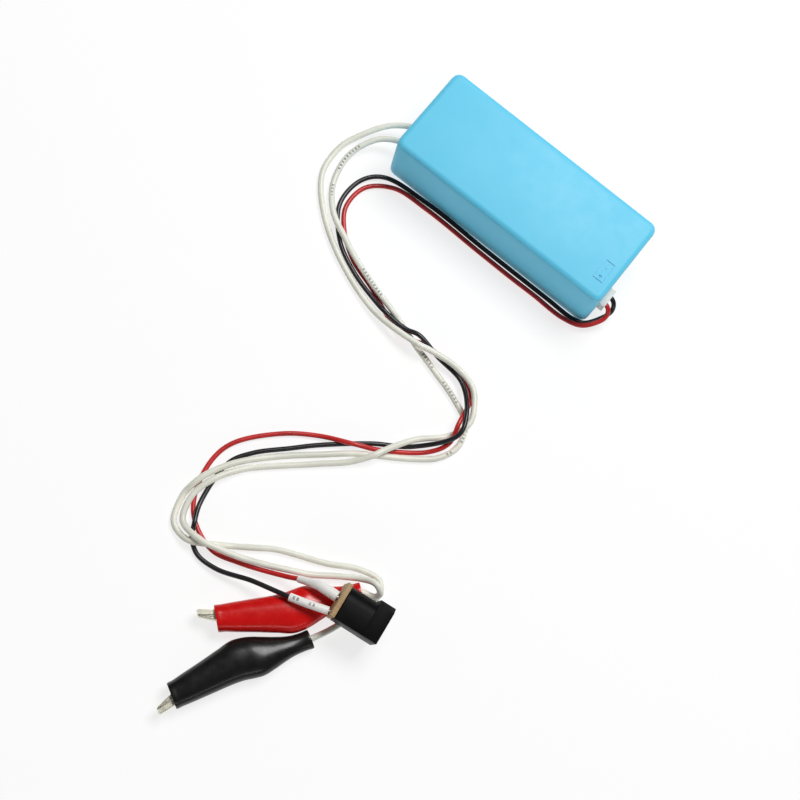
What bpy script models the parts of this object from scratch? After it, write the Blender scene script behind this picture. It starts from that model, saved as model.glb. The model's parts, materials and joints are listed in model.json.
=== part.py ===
"""Small tone driver box with a barrel-jack input lead and two clip output leads.

Units are metres, +Z is up. +X runs along the case from the output end to the input
end, and the leads lie on the floor on the case's -Y side. The origin is the centre
of the case's underside.
"""

import math

import bmesh
import bpy
from mathutils import Matrix, Vector

# --- case -------------------------------------------------------------------
CASE_LENGTH = 0.0730
CASE_WIDTH = 0.0295
CASE_HEIGHT = 0.0204
CASE_WALL = 0.0014
CASE_CORNER_RADIUS = 0.0025
CASE_TOP_RADIUS = 0.0016
PART_GAP = 0.0003

BASE_THICKNESS = 0.0014
BOARD_RAIL_HEIGHT = 0.0008
BOARD_THICKNESS = 0.0012
BOARD_LENGTH = 0.0680
BOARD_WIDTH = 0.0240
BOARD_BOTTOM = BASE_THICKNESS + BOARD_RAIL_HEIGHT + PART_GAP
BOARD_TOP = BOARD_BOTTOM + BOARD_THICKNESS
PARTS_BOTTOM = BOARD_TOP + PART_GAP

# --- input connector, in the +X end wall -------------------------------------
PLUG_Y = -0.0069
PLUG_Z = 0.0063
PLUG_PITCH = 0.0026
PLUG_WIDTH = 0.0060
PLUG_HEIGHT = 0.0042
PLUG_END_X = 0.0384
PLUG_SHOULDER_X = 0.0354
PLUG_NOSE_X = 0.0315
CONTACT_HOLE_RADIUS = 0.00085

# --- leads -------------------------------------------------------------------
WHITE_RADIUS = 0.0009
THIN_RADIUS = 0.0007
OUTPUT_Z = 0.0056
OUTPUT_HOLE_RADIUS = 0.0012
OUTPUT_Y_RED = -0.0012
OUTPUT_Y_BLACK = -0.0072

# Points that each lead runs through, chosen by hand, from the case outwards.
WHITE_LEAD_RED_CLIP_ROUTE = [
    (-0.0315, -0.0010, 0.0056), (-0.0365, -0.0012, 0.0056), (-0.0433, -0.0049, 0.0041),
    (-0.0492, -0.0138, 0.0021), (-0.0510, -0.0191, 0.0013), (-0.0497, -0.0289, 0.0010),
    (-0.0372, -0.0413, 0.0012), (-0.0140, -0.0513, 0.0015), (0.0032, -0.0522, 0.0048),
    (0.0073, -0.0512, 0.0043), (0.0152, -0.0501, 0.0037), (0.0224, -0.0511, 0.0029),
    (0.0254, -0.0533, 0.0029), (0.0289, -0.0593, 0.0031), (0.0288, -0.0627, 0.0030),
    (0.0264, -0.0670, 0.0010), (0.0200, -0.0739, 0.0025),
    (0.0152, -0.0819, 0.0028), (0.0139, -0.0848, 0.0032), (0.0099, -0.0901, 0.0015),
    (0.0030, -0.0965, 0.0010), (-0.0085, -0.1071, 0.0010), (-0.0118, -0.1106, 0.0012),
    (-0.0161, -0.1178, 0.0027), (-0.0179, -0.1253, 0.0027), (-0.0154, -0.1324, 0.0024),
    (-0.0082, -0.1337, 0.0048), (-0.0030, -0.1325, 0.0045), (0.0036, -0.1303, 0.0033),
    (0.0090, -0.1280, 0.0032), (0.0132, -0.1260, 0.0031), (0.0171, -0.1240, 0.0028),
    (0.0210, -0.1219, 0.0022), (0.0280, -0.1169, 0.0021), (0.0330, -0.1140, 0.0034),
    (0.0366, -0.1132, 0.0060), (0.0391, -0.1142, 0.0052), (0.0385, -0.1157, 0.0031),
    (0.0346, -0.1171, 0.0025), (0.0323, -0.1198, 0.0026),
]
WHITE_LEAD_BLACK_CLIP_ROUTE = [
    (-0.0315, -0.0072, 0.0056), (-0.0365, -0.0072, 0.0056), (-0.0433, -0.0106, 0.0043),
    (-0.0472, -0.0192, 0.0026), (-0.0455, -0.0289, 0.0016), (-0.0399, -0.0361, 0.0024),
    (-0.0319, -0.0404, 0.0026), (-0.0267, -0.0427, 0.0025), (-0.0168, -0.0461, 0.0024),
    (-0.0085, -0.0482, 0.0020), (-0.0048, -0.0491, 0.0011), (0.0021, -0.0515, 0.0010),
    (0.0116, -0.0542, 0.0010), (0.0217, -0.0573, 0.0010), (0.0282, -0.0609, 0.0010),
    (0.0306, -0.0671, 0.0010), (0.0284, -0.0733, 0.0010), (0.0232, -0.0781, 0.0010),
    (0.0102, -0.0869, 0.0010), (0.0070, -0.0894, 0.0010), (0.0028, -0.0932, 0.0011),
    (-0.0066, -0.1017, 0.0011), (-0.0145, -0.1108, 0.0024), (-0.0187, -0.1186, 0.0028),
    (-0.0197, -0.1226, 0.0027), (-0.0201, -0.1266, 0.0012), (-0.0175, -0.1338, 0.0010),
    (-0.0140, -0.1355, 0.0013), (-0.0102, -0.1354, 0.0026), (-0.0045, -0.1320, 0.0025),
    (-0.0015, -0.1298, 0.0011), (0.0041, -0.1259, 0.0011), (0.0093, -0.1223, 0.0010),
    (0.0224, -0.1166, 0.0010), (0.0304, -0.1122, 0.0010), (0.0369, -0.1111, 0.0010),
    (0.0391, -0.1143, 0.0010), (0.0351, -0.1288, 0.0013), (0.0319, -0.1357, 0.0025),
    (0.0303, -0.1386, 0.0026),
]
BLACK_LEAD_ROUTE = [
    (0.0365, -0.0056, 0.0063), (0.0384, -0.0056, 0.0063), (0.0399, -0.0062, 0.0057),
    (0.0408, -0.0076, 0.0042), (0.0404, -0.0093, 0.0023), (0.0368, -0.0146, 0.0008),
    (0.0331, -0.0159, 0.0009), (0.0239, -0.0159, 0.0008), (0.0000, -0.0159, 0.0008),
    (-0.0200, -0.0157, 0.0008), (-0.0353, -0.0176, 0.0008), (-0.0400, -0.0229, 0.0008),
    (-0.0402, -0.0324, 0.0008), (-0.0332, -0.0412, 0.0008), (-0.0240, -0.0461, 0.0008),
    (-0.0141, -0.0491, 0.0017), (-0.0098, -0.0500, 0.0024), (-0.0020, -0.0503, 0.0028),
    (0.0022, -0.0495, 0.0036), (0.0101, -0.0507, 0.0022), (0.0200, -0.0522, 0.0022),
    (0.0272, -0.0600, 0.0051), (0.0287, -0.0659, 0.0050), (0.0205, -0.0757, 0.0010),
    (0.0111, -0.0823, 0.0009), (-0.0001, -0.0921, 0.0008), (-0.0056, -0.0978, 0.0008),
    (-0.0129, -0.1056, 0.0008), (-0.0162, -0.1118, 0.0008), (-0.0151, -0.1252, 0.0014),
    (-0.0123, -0.1314, 0.0026), (-0.0108, -0.1341, 0.0009), (-0.0067, -0.1369, 0.0010),
    (0.0001, -0.1368, 0.0018), (0.0094, -0.1336, 0.0043), (0.0142, -0.1324, 0.0059),
    (0.0174, -0.1317, 0.0073), (0.0206, -0.1309, 0.0086), (0.0250, -0.1296, 0.0096),
    (0.0289, -0.1280, 0.0099),
]
RED_LEAD_ROUTE = [
    (0.0365, -0.0082, 0.0063), (0.0384, -0.0082, 0.0063), (0.0397, -0.0088, 0.0059),
    (0.0405, -0.0100, 0.0047), (0.0402, -0.0118, 0.0036), (0.0367, -0.0163, 0.0023),
    (0.0310, -0.0178, 0.0014), (0.0202, -0.0177, 0.0011), (0.0120, -0.0177, 0.0008),
    (-0.0001, -0.0176, 0.0008), (-0.0200, -0.0173, 0.0008), (-0.0310, -0.0184, 0.0008),
    (-0.0377, -0.0239, 0.0008), (-0.0383, -0.0319, 0.0008), (-0.0343, -0.0378, 0.0008),
    (-0.0269, -0.0432, 0.0008), (-0.0170, -0.0466, 0.0008), (-0.0051, -0.0512, 0.0011),
    (0.0022, -0.0515, 0.0030), (0.0049, -0.0501, 0.0015), (0.0181, -0.0503, 0.0008),
    (0.0244, -0.0533, 0.0011), (0.0268, -0.0629, 0.0044), (0.0281, -0.0685, 0.0024),
    (0.0250, -0.0740, 0.0010), (0.0139, -0.0824, 0.0011), (0.0079, -0.0857, 0.0027),
    (-0.0015, -0.0899, 0.0010), (-0.0100, -0.0960, 0.0008), (-0.0188, -0.1067, 0.0008),
    (-0.0203, -0.1140, 0.0008), (-0.0179, -0.1241, 0.0008), (-0.0134, -0.1299, 0.0008),
    (-0.0044, -0.1335, 0.0008), (0.0040, -0.1315, 0.0014), (0.0165, -0.1265, 0.0035),
    (0.0194, -0.1252, 0.0052), (0.0222, -0.1243, 0.0071), (0.0252, -0.1235, 0.0091),
    (0.0282, -0.1231, 0.0099),
]

# --- barrel jack: x back to front, y from its flat underside up, z across ------
JACK_ORIGIN = Vector((0.0333, -0.1285, 0.0097))
JACK_HEADING = math.radians(7.6)
JACK_PITCH = math.radians(6.0)
JACK_LENGTH = 0.0130
JACK_WIDTH = 0.0090
JACK_HEIGHT = 0.0110
JACK_FLANGE_X = 0.0084
JACK_BODY_HALF_WIDTH = 0.0042
JACK_BODY_TOP = 0.0102
JACK_BORE_RADIUS = 0.0031
JACK_BORE_Y = 0.0058
JACK_BORE_BACK_X = 0.0022
JACK_PIN_RADIUS = 0.00105
JACK_PLATE_THICKNESS = 0.0014
JACK_LEAF_Y = 0.0014
JACK_LEAF_THICKNESS = 0.0004
JACK_LEAF_WIDTH = 0.0024
JACK_LUG_END_X = -0.0036

# --- clips: x from the boot's mouth to its tail, +y the humped side -------------
CLIP_RED_ORIGIN = Vector((0.00875, -0.1474, 0.0038))
CLIP_RED_ANGLE = math.radians(49.5)
CLIP_BLACK_ORIGIN = Vector((0.0127, -0.1705, 0.0038))
CLIP_BLACK_ANGLE = math.radians(61.1)
CLIP_PIVOT = (0.0090, 0.0)
CLIP_PIN_RADIUS = 0.0006
CLIP_PIN_HOLE_RADIUS = 0.0007
CLIP_PIN_HALF_LENGTH = 0.0021
JAW_SHEET = 0.0004
FIXED_JAW_HALF_WIDTH = 0.0018
MOVING_JAW_HALF_WIDTH = 0.0012
TEETH = 9
TOOTH_PITCH = 0.0008
TOOTH_DEPTH = 0.0003
SPLIT_TIP = Vector((-0.0047, -0.0021))
SPLIT_SLOPE = 0.20
SPRING_WIRE_RADIUS = 0.00022
SPRING_COIL_RADIUS = 0.00115
BOOT_WALL = 0.0007
# Station along the boot: x, straight side y, humped side y, half height, centre drop.
BOOT_STATIONS = [
    (0.0000, -0.0036, 0.0036, 0.0033, 0.0000),
    (0.0050, -0.0036, 0.0046, 0.0034, 0.0000),
    (0.0105, -0.0035, 0.0057, 0.0035, 0.0000),
    (0.0160, -0.0034, 0.0069, 0.0036, 0.0000),
    (0.0195, -0.0036, 0.0077, 0.0036, 0.0000),
    (0.0222, -0.0041, 0.0075, 0.0036, 0.0001),
    (0.0248, -0.0044, 0.0068, 0.0035, 0.0001),
    (0.0280, -0.0039, 0.0055, 0.0032, 0.0004),
    (0.0315, -0.0031, 0.0041, 0.0028, 0.0009),
    (0.0345, -0.0026, 0.0031, 0.0024, 0.0012),
    (0.0370, -0.0025, 0.0027, 0.0022, 0.0013),
    (0.0400, -0.0026, 0.0026, 0.0022, 0.0013),
]
BOOT_SIDES = 18

SLEEVE_WALL = 0.0003


# --- building helpers ----------------------------------------------------------
def clear_scene():
    for obj in list(bpy.data.objects):
        bpy.data.objects.remove(obj, do_unlink=True)


def make_material(name, color, roughness, metallic=0.0):
    material = bpy.data.materials.new(name)
    material.use_nodes = True
    shader = material.node_tree.nodes["Principled BSDF"]
    shader.inputs["Base Color"].default_value = (*color, 1.0)
    shader.inputs["Roughness"].default_value = roughness
    shader.inputs["Metallic"].default_value = metallic
    return material


def add_object(name, bm, material, matrix=None, parent=None):
    """Turn a bmesh into a linked, smooth-shaded object."""
    bmesh.ops.recalc_face_normals(bm, faces=bm.faces)
    mesh = bpy.data.meshes.new(name)
    bm.to_mesh(mesh)
    bm.free()
    mesh.materials.append(material)
    mesh.shade_smooth()
    mesh.set_sharp_from_angle(angle=math.radians(35))
    obj = bpy.data.objects.new(name, mesh)
    bpy.context.collection.objects.link(obj)
    if parent is not None:
        obj.parent = parent
    if matrix is not None:
        obj.matrix_local = matrix
    return obj


def add_empty(name, matrix):
    empty = bpy.data.objects.new(name, None)
    empty.empty_display_size = 0.004
    empty.matrix_world = matrix
    bpy.context.collection.objects.link(empty)
    return empty


def boolean(obj, bm, operation="DIFFERENCE"):
    """Cut a bmesh's shape from an object, or join it on, with an exact Boolean."""
    bmesh.ops.recalc_face_normals(bm, faces=bm.faces)
    mesh = bpy.data.meshes.new(obj.name + "_tool")
    bm.to_mesh(mesh)
    bm.free()
    tool = bpy.data.objects.new(mesh.name, mesh)
    bpy.context.collection.objects.link(tool)
    tool.parent = obj
    tool.hide_render = True
    tool.display_type = "WIRE"
    modifier = obj.modifiers.new(operation.title(), "BOOLEAN")
    modifier.operation = operation
    modifier.solver = "EXACT"
    modifier.object = tool


def box(low, high):
    bm = bmesh.new()
    bmesh.ops.create_cube(bm, size=1.0)
    low, high = Vector(low), Vector(high)
    bmesh.ops.scale(bm, vec=high - low, verts=bm.verts)
    bmesh.ops.translate(bm, vec=(low + high) / 2, verts=bm.verts)
    return bm


def rounded_box(low, high, corner_radius, top_radius=0.0, segments=4):
    """A box with rounded vertical edges and, if asked, a rounded top edge."""
    bm = box(low, high)
    upright = [e for e in bm.edges if abs(e.verts[0].co.z - e.verts[1].co.z) > 1e-6]
    bmesh.ops.bevel(bm, geom=upright, offset=corner_radius, segments=segments,
                    profile=0.5, affect="EDGES", material=-1)
    if top_radius > 0:
        top = [e for e in bm.edges if min(v.co.z for v in e.verts) > high[2] - 1e-6]
        bmesh.ops.bevel(bm, geom=top, offset=top_radius, segments=3,
                        profile=0.5, affect="EDGES", material=-1)
    return bm


def cylinder(center, axis, radius, length, sides=16):
    """A closed cylinder centred on a point, with its axis along 'X', 'Y' or 'Z'."""
    bm = bmesh.new()
    bmesh.ops.create_cone(bm, cap_ends=True, segments=sides, radius1=radius,
                          radius2=radius, depth=length)
    turn = {"X": Matrix.Rotation(math.pi / 2, 4, "Y"),
            "Y": Matrix.Rotation(math.pi / 2, 4, "X"),
            "Z": Matrix.Identity(4)}[axis]
    bmesh.ops.transform(bm, matrix=Matrix.Translation(center) @ turn, verts=bm.verts)
    return bm


def prism(outline, z_low, z_high):
    """Extrude a closed x, y outline between two heights."""
    bm = bmesh.new()
    face = bm.faces.new([bm.verts.new((x, y, z_low)) for x, y in outline])
    raised = bmesh.ops.extrude_face_region(bm, geom=[face])["geom"]
    verts = [g for g in raised if isinstance(g, bmesh.types.BMVert)]
    bmesh.ops.translate(bm, vec=(0, 0, z_high - z_low), verts=verts)
    return bm


def lathe(profile, sides=16):
    """Spin (radius, z) points about Z; the profile starts and ends on the axis."""
    bm = bmesh.new()
    verts = [bm.verts.new((radius, 0, z)) for radius, z in profile]
    edges = [bm.edges.new(pair) for pair in zip(verts, verts[1:])]
    bmesh.ops.spin(bm, geom=verts + edges, cent=(0, 0, 0), axis=(0, 0, 1),
                   angle=math.tau, steps=sides, use_merge=True)
    bmesh.ops.remove_doubles(bm, verts=bm.verts, dist=1e-6)
    return bm


def smooth_route(points, steps=16):
    """A smooth curve through the route's points (centripetal Catmull-Rom)."""
    route = [Vector(p) for p in points]
    route = [2 * route[0] - route[1]] + route + [2 * route[-1] - route[-2]]
    curve = []
    for a, b, c, d in zip(route, route[1:], route[2:], route[3:]):
        t1 = math.sqrt((b - a).length)
        t2 = t1 + math.sqrt((c - b).length)
        t3 = t2 + math.sqrt((d - c).length)
        for step in range(steps):
            t = t1 + (t2 - t1) * step / steps
            ab = a.lerp(b, t / t1)
            bc = b.lerp(c, (t - t1) / (t2 - t1))
            cd = c.lerp(d, (t - t2) / (t3 - t2))
            abc = ab.lerp(bc, t / t2)
            bcd = bc.lerp(cd, (t - t1) / (t3 - t1))
            curve.append(abc.lerp(bcd, (t - t1) / (t2 - t1)))
    curve.append(route[-2])
    return curve


def thinned(curve, longest, turn=math.radians(24)):
    """Keep a point where the curve has run on far enough or turned enough."""
    kept = [curve[0]]
    heading = (curve[1] - curve[0]).normalized()
    for point, after in zip(curve[1:], curve[2:]):
        direction = (after - point).normalized()
        if (point - kept[-1]).length > longest or direction.angle(heading) > turn:
            kept.append(point)
            heading = direction
    if (curve[-1] - kept[-1]).length < 0.0008 and len(kept) > 2:
        kept.pop()
    kept.append(curve[-1])
    return kept


def add_lead(name, route, radius, material):
    """A wire's insulation: a round tube along a smooth route."""
    points = thinned(smooth_route(route), longest=6 * radius)
    data = bpy.data.curves.new(name, "CURVE")
    data.dimensions = "3D"
    data.bevel_depth = radius
    data.bevel_resolution = 2
    data.use_fill_caps = True
    spline = data.splines.new("POLY")
    spline.points.add(len(points) - 1)
    for spline_point, place in zip(spline.points, points):
        spline_point.co = (*place, 1.0)
    data.materials.append(material)
    obj = bpy.data.objects.new(name, data)
    bpy.context.collection.objects.link(obj)
    return obj


def ring_along(bm, center, direction, radius, sides):
    """A ring of vertices square to a direction."""
    side = direction.cross(Vector((0, 0, 1))).normalized()
    up = side.cross(direction).normalized()
    angles = [math.tau * k / sides for k in range(sides)]
    return [bm.verts.new(center + radius * (math.cos(a) * side + math.sin(a) * up))
            for a in angles]


def bridge(bm, ring_a, ring_b):
    for k in range(len(ring_a)):
        after = (k + 1) % len(ring_a)
        bm.faces.new((ring_a[k], ring_a[after], ring_b[after], ring_b[k]))


def hollow_loft(bm, outer, inner):
    """Close outer and inner rings into one tube wall that is open at both ends."""
    for rings in (outer, inner):
        for first, second in zip(rings, rings[1:]):
            bridge(bm, first, second)
    bridge(bm, outer[0], inner[0])
    bridge(bm, outer[-1], inner[-1])


# --- case and its insides ------------------------------------------------------
def build_case(blue, dark):
    half_length, half_width = CASE_LENGTH / 2, CASE_WIDTH / 2
    shell = add_object("case_shell", rounded_box(
        (-half_length, -half_width, 0), (half_length, half_width, CASE_HEIGHT),
        CASE_CORNER_RADIUS, CASE_TOP_RADIUS), blue)
    inside_x, inside_y = half_length - CASE_WALL, half_width - CASE_WALL
    boolean(shell, rounded_box(
        (-inside_x, -inside_y, -0.002), (inside_x, inside_y, CASE_HEIGHT - CASE_WALL),
        CASE_CORNER_RADIUS - CASE_WALL, segments=3))
    for y in (OUTPUT_Y_RED, OUTPUT_Y_BLACK):
        boolean(shell, cylinder((-half_length, y, OUTPUT_Z), "X", OUTPUT_HOLE_RADIUS, 0.006))
    slot = PART_GAP
    boolean(shell, box(
        (inside_x - 0.002, PLUG_Y - PLUG_WIDTH / 2 - slot, PLUG_Z - PLUG_HEIGHT / 2 - slot),
        (half_length + 0.002, PLUG_Y + PLUG_WIDTH / 2 + slot, PLUG_Z + PLUG_HEIGHT / 2 + slot)))

    base_x, base_y = inside_x - PART_GAP, inside_y - PART_GAP
    base = add_object("base_cover", rounded_box(
        (-base_x, -base_y, 0), (base_x, base_y, BASE_THICKNESS), 0.0009, segments=3), dark)
    for y in (-0.0105, 0.0105):
        boolean(base, box((-0.030, y - 0.0008, BASE_THICKNESS - 0.0004),
                          (0.030, y + 0.0008, BASE_THICKNESS + BOARD_RAIL_HEIGHT)), "UNION")


def build_board(green):
    add_object("circuit_board", box(
        (-BOARD_LENGTH / 2, -BOARD_WIDTH / 2, BOARD_BOTTOM),
        (BOARD_LENGTH / 2, BOARD_WIDTH / 2, BOARD_TOP)), green)


def core_half_outline(side):
    """An E core half in plan; side is -1 or +1 along x."""
    back, root, tip = 0.0071, 0.0052, 0.00015
    outer, inner, centre = 0.0080, 0.0060, 0.0020
    outline = [(back, -outer), (back, outer), (tip, outer), (tip, inner), (root, inner),
               (root, centre), (tip, centre), (tip, -centre), (root, -centre),
               (root, -inner), (tip, -inner), (tip, -outer)]
    return [(side * x, y) for x, y in outline]


def build_transformer(ferrite, plastic, copper):
    place = Matrix.Translation((-0.0080, 0.0010, 0.0100))
    for name, side in (("transformer_core_output_half", -1), ("transformer_core_input_half", 1)):
        add_object(name, prism(core_half_outline(side), -0.0024, 0.0024), ferrite, place)
    bobbin = add_object("transformer_bobbin", box(
        (-0.0048, -0.0029, -0.0033), (0.0048, 0.0029, 0.0033)), plastic, place)
    for x in (-0.0044, 0.0044):
        boolean(bobbin, box((x - 0.0004, -0.0056, -0.0060), (x + 0.0004, 0.0056, 0.0060)), "UNION")
    boolean(bobbin, box((-0.006, -0.0023, -0.0027), (0.006, 0.0023, 0.0027)))
    winding = add_object("transformer_winding", rounded_turns(0.0037, 0.0053, 0.0055), copper, place)
    boolean(winding, box((-0.005, -0.0032, -0.0036), (0.005, 0.0032, 0.0036)))


def rounded_turns(half_length, half_y, half_z):
    """The outside of a wound coil: a block with its long edges rounded."""
    bm = box((-half_length, -half_y, -half_z), (half_length, half_y, half_z))
    along = [e for e in bm.edges if abs(e.verts[0].co.x - e.verts[1].co.x) > 1e-6]
    bmesh.ops.bevel(bm, geom=along, offset=0.0016, segments=3, profile=0.5,
                    affect="EDGES", material=-1)
    return bm


def d_outline(radius, flat):
    """A round outline with one flat side, as a small transistor has."""
    start = math.asin(-flat / radius)
    angles = [start + (math.pi - 2 * start) * k / 12 for k in range(13)]
    return [(radius * math.cos(a), radius * math.sin(a)) for a in angles]


def build_components(black, sleeve, film, resistor_tan, tin, copper):
    can = [(0, 0), (0.0038, 0), (0.0040, 0.0006), (0.0036, 0.0012), (0.0040, 0.0018),
           (0.0040, 0.0118), (0.0036, 0.0120), (0, 0.0120)]
    add_object("input_capacitor", lathe(can, 20), sleeve,
               Matrix.Translation((0.0200, 0.0040, PARTS_BOTTOM)))
    add_object("output_capacitor", rounded_box(
        (-0.0285, 0.0010, PARTS_BOTTOM), (-0.0185, 0.0070, PARTS_BOTTOM + 0.0100),
        0.0008, 0.0006, 2), film)
    for index, x in enumerate((0.0060, 0.0120), start=1):
        name = "transistor_%d" % index
        body = add_object(name, prism(d_outline(0.0023, 0.0013), 0.0018, 0.0064), black,
                          Matrix.Translation((x, -0.0075, PARTS_BOTTOM)))
        for leg_x in (-0.00127, 0, 0.00127):
            boolean(body, box((leg_x - 0.00022, -0.0002, 0), (leg_x + 0.00022, 0.0002, 0.0020)), "UNION")
    barrel = [(0, -0.0052), (0.0003, -0.0052), (0.0003, -0.0033), (0.0010, -0.0030),
              (0.0011, -0.0020), (0.0009, -0.0014), (0.0009, 0.0014), (0.0011, 0.0020),
              (0.0010, 0.0030), (0.0003, 0.0033), (0.0003, 0.0052), (0, 0.0052)]
    lying = Matrix.Rotation(math.pi / 2, 4, "Y")
    for index, y in enumerate((-0.0102, 0.0100), start=1):
        add_object("resistor_%d" % index, lathe(barrel, 12), resistor_tan,
                   Matrix.Translation((-0.0210, y, PARTS_BOTTOM + 0.0012)) @ lying)
    for index, y in enumerate((OUTPUT_Y_RED, OUTPUT_Y_BLACK), start=1):
        add_object("output_terminal_%d" % index, cylinder(
            (-0.0303, y, PARTS_BOTTOM + 0.0014), "Z", 0.0006, 0.0028, 10), tin)


def build_input_connector(white, tin):
    header = add_object("input_header", box(
        (0.0296, PLUG_Y - 0.0032, PARTS_BOTTOM), (0.0348, PLUG_Y + 0.0032, 0.0088)), white)
    boolean(header, box((0.0308, PLUG_Y - 0.0026, 0.0044), (0.0360, PLUG_Y + 0.0026, 0.0082)))
    plug = add_object("input_plug", plug_body(), white)
    for index, offset in enumerate((PLUG_PITCH / 2, -PLUG_PITCH / 2), start=1):
        y = PLUG_Y + offset
        boolean(header, cylinder((0.0302, y, PLUG_Z), "X", 0.0005, 0.0030, 12))
        boolean(plug, cylinder((0.0350, y, PLUG_Z), "X", CONTACT_HOLE_RADIUS, 0.0090, 12))
        add_object("input_header_pin_%d" % index,
                   cylinder((0.0310, y, PLUG_Z), "X", 0.00035, 0.0046, 8), tin)
        add_object("input_plug_contact_%d" % index,
                   cylinder((0.0349, y, PLUG_Z), "X", 0.0006, 0.0026, 10), tin)


def plug_body():
    """A crimp housing: a wide wire end and a narrower nose that enters the header."""
    bm = box((PLUG_SHOULDER_X, PLUG_Y - PLUG_WIDTH / 2, PLUG_Z - PLUG_HEIGHT / 2),
             (PLUG_END_X, PLUG_Y + PLUG_WIDTH / 2, PLUG_Z + PLUG_HEIGHT / 2))
    front = min(bm.faces, key=lambda f: f.calc_center_median().x)
    bmesh.ops.inset_region(bm, faces=[front], thickness=0.0006, depth=0)
    nose = bmesh.ops.extrude_face_region(bm, geom=[front])["geom"]
    verts = [g for g in nose if isinstance(g, bmesh.types.BMVert)]
    bmesh.ops.delete(bm, geom=[front], context="FACES_ONLY")
    bmesh.ops.translate(bm, vec=(PLUG_NOSE_X - PLUG_SHOULDER_X, 0, 0), verts=verts)
    return bm


# --- barrel jack ---------------------------------------------------------------
def jack_matrix():
    turn = Matrix.Rotation(JACK_HEADING, 4, "Z") @ Matrix.Rotation(JACK_PITCH, 4, "Y")
    return Matrix.Translation(JACK_ORIGIN) @ turn


def arch_outline(half_width, top, low=0.0, steps=10):
    """An outline in y and z: a flat underside, upright sides and a half-round top."""
    spring_line = top - half_width
    points = [(low, -half_width)]
    for k in range(steps + 1):
        angle = -math.pi / 2 + math.pi * k / steps
        points.append((spring_line + half_width * math.cos(angle), half_width * math.sin(angle)))
    points.append((low, half_width))
    return points


def along_x(outline, x_low, x_high):
    """Extrude a y, z outline along x."""
    bm = bmesh.new()
    face = bm.faces.new([bm.verts.new((x_low, y, z)) for y, z in outline])
    verts = [g for g in bmesh.ops.extrude_face_region(bm, geom=[face])["geom"]
             if isinstance(g, bmesh.types.BMVert)]
    bmesh.ops.translate(bm, vec=(x_high - x_low, 0, 0), verts=verts)
    return bm


def build_jack(frame, black, tan, tin):
    half = JACK_WIDTH / 2
    chamfer = 0.0016
    flange = [(0, -half), (JACK_HEIGHT - chamfer, -half), (JACK_HEIGHT, -half + chamfer),
              (JACK_HEIGHT, half - chamfer), (JACK_HEIGHT - chamfer, half), (0, half)]
    body = add_object("jack_body", along_x(flange, JACK_FLANGE_X, JACK_LENGTH), black,
                      parent=frame)
    boolean(body, along_x(arch_outline(JACK_BODY_HALF_WIDTH, JACK_BODY_TOP),
                          0, JACK_FLANGE_X + 0.001), "UNION")
    bore_length = JACK_LENGTH - JACK_BORE_BACK_X + 0.002
    boolean(body, cylinder((JACK_BORE_BACK_X + bore_length / 2, JACK_BORE_Y, 0), "X",
                           JACK_BORE_RADIUS, bore_length, 24))
    boolean(body, cylinder((JACK_BORE_BACK_X, JACK_BORE_Y, 0), "X", JACK_PIN_RADIUS + 0.0002,
                           2 * JACK_BORE_BACK_X + 0.002, 14))
    slot_half = JACK_LEAF_WIDTH / 2 + 0.0004
    boolean(body, box((-0.001, 0.0006, -slot_half), (0.0108, JACK_BORE_Y - 0.002, slot_half)))

    plate = add_object("jack_back_plate", box(
        (-PART_GAP - JACK_PLATE_THICKNESS, 0.0001, -JACK_BODY_HALF_WIDTH),
        (-PART_GAP, JACK_BODY_TOP, JACK_BODY_HALF_WIDTH)), tan, parent=frame)
    boolean(plate, cylinder((-0.001, JACK_BORE_Y, 0), "X", 0.0008, 0.004, 12))
    boolean(plate, box((-0.004, JACK_LEAF_Y - 0.0005, -0.0011), (0.002, JACK_LEAF_Y + 0.0007, 0.0011)))

    pin = [(0, JACK_LUG_END_X), (0.0005, JACK_LUG_END_X), (0.0005, 0.0004),
           (JACK_PIN_RADIUS, 0.0004), (JACK_PIN_RADIUS, 0.0112), (0.0006, 0.0120), (0, 0.0120)]
    sideways = Matrix.Translation((0, JACK_BORE_Y, 0)) @ Matrix.Rotation(math.pi / 2, 4, "Y")
    add_object("jack_center_pin", lathe(pin, 14), tin, sideways, frame)
    build_jack_contact(frame, tin)


def build_jack_contact(frame, tin):
    """The sleeve contact: a fixed lug, and the leaf that a plug pushes down."""
    width = JACK_LEAF_WIDTH / 2
    add_object("jack_sleeve_lug", box(
        (JACK_LUG_END_X, JACK_LEAF_Y - 0.0001, -0.0005),
        (0.0010, JACK_LEAF_Y + 0.0003, 0.0005)), tin, parent=frame)
    low = JACK_LEAF_Y
    high = low + JACK_LEAF_THICKNESS
    crown = JACK_BORE_Y - JACK_BORE_RADIUS + 0.0004
    leaf = [(0.0013, low), (0.0060, low + 0.0005), (0.0085, crown - JACK_LEAF_THICKNESS),
            (0.0100, low + 0.0007), (0.0100, low + 0.0011), (0.0085, crown),
            (0.0060, high + 0.0005), (0.0013, high)]
    add_object("jack_leaf_contact", prism(leaf, -width, width), tin, parent=frame)


# --- clips ---------------------------------------------------------------------
def clip_matrix(origin, angle, flipped):
    """A clip lies on its side; the red one lies on its other side."""
    turn = Matrix.Rotation(angle, 4, "Z")
    if flipped:
        turn = turn @ Matrix.Rotation(math.pi, 4, "X")
    return Matrix.Translation(origin) @ turn


def tooth_line(offset):
    """The toothed edge where the jaws meet, from the tip back."""
    points = []
    for tooth in range(TEETH):
        x = SPLIT_TIP.x + tooth * TOOTH_PITCH
        y = SPLIT_TIP.y + SPLIT_SLOPE * tooth * TOOTH_PITCH + offset
        points.append((x, y))
        points.append((x + TOOTH_PITCH / 2, y + TOOTH_DEPTH))
    return points


def arc(center, radius, start, end, steps):
    angles = [math.radians(start + (end - start) * k / steps) for k in range(steps + 1)]
    return [(center[0] + radius * math.cos(a), center[1] + radius * math.sin(a)) for a in angles]


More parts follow.
